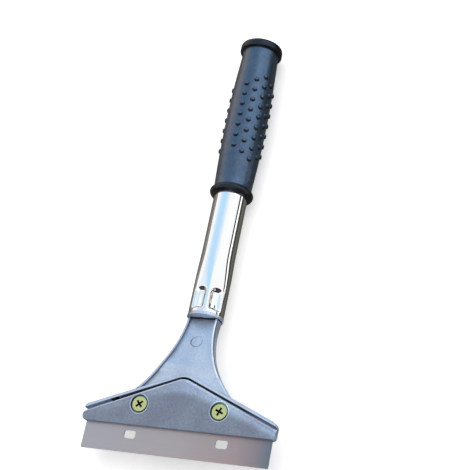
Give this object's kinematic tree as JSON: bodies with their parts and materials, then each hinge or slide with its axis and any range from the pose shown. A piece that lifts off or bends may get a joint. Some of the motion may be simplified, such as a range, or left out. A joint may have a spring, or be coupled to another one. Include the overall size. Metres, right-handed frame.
{
  "type": "tile scraper",
  "caption": "Long-handled hand scraper: a wide replaceable blade clamped by a screwed plate on a cast head, with a tubular handle and a studded rubber grip.",
  "frame": {"origin": "middle of the bounding box's underside, with the tool lying on its back", "axes": "+X across the blade, +Y from the cutting edge to the end of the grip, +Z out of the face that holds the screws"},
  "size_m": [0.1034, 0.2402, 0.0246],
  "materials": {
    "cast_head": "die-cast, satin",
    "plate": "satin",
    "blade_steel": "fine ground",
    "zinc": "yellow zinc plated",
    "tube_chrome": "bright plated",
    "grip_rubber": "satin, dipped"
  },
  "bodies": {
    "handle": {"blade_holder": "cast_head", "handle_tube": "tube_chrome", "grip": "grip_rubber"},
    "clamp_plate": {"clamp_plate": "plate"},
    "left_screw": {"left_screw": "zinc"},
    "right_screw": {"right_screw": "zinc"},
    "blade": {"blade": "blade_steel"}
  },
  "joints": [
    {"name": "left_screw_turn", "type": "hinge", "parent": "clamp_plate", "child": "left_screw", "pos_m": [-0.0215, -0.0959, 0.0198], "axis": [0, 0, 1], "range_deg": [0, 1080]},
    {"name": "right_screw_turn", "type": "hinge", "parent": "clamp_plate", "child": "right_screw", "pos_m": [0.0215, -0.0959, 0.0198], "axis": [0, 0, 1], "range_deg": [0, 1080]},
    {"name": "clamp_lift", "type": "slide", "parent": "handle", "child": "clamp_plate", "axis": [0, 0, 1], "range_m": [0, 0.0021]},
    {"name": "blade_slide", "type": "slide", "parent": "handle", "child": "blade", "axis": [0, -1, 0], "range_m": [0, 0.005]}
  ],
  "couplings": [
    {"joint": "left_screw_turn", "follows": "clamp_lift", "rad_per_m": 8975.9},
    {"joint": "right_screw_turn", "follows": "clamp_lift", "rad_per_m": 8975.9}
  ]
}
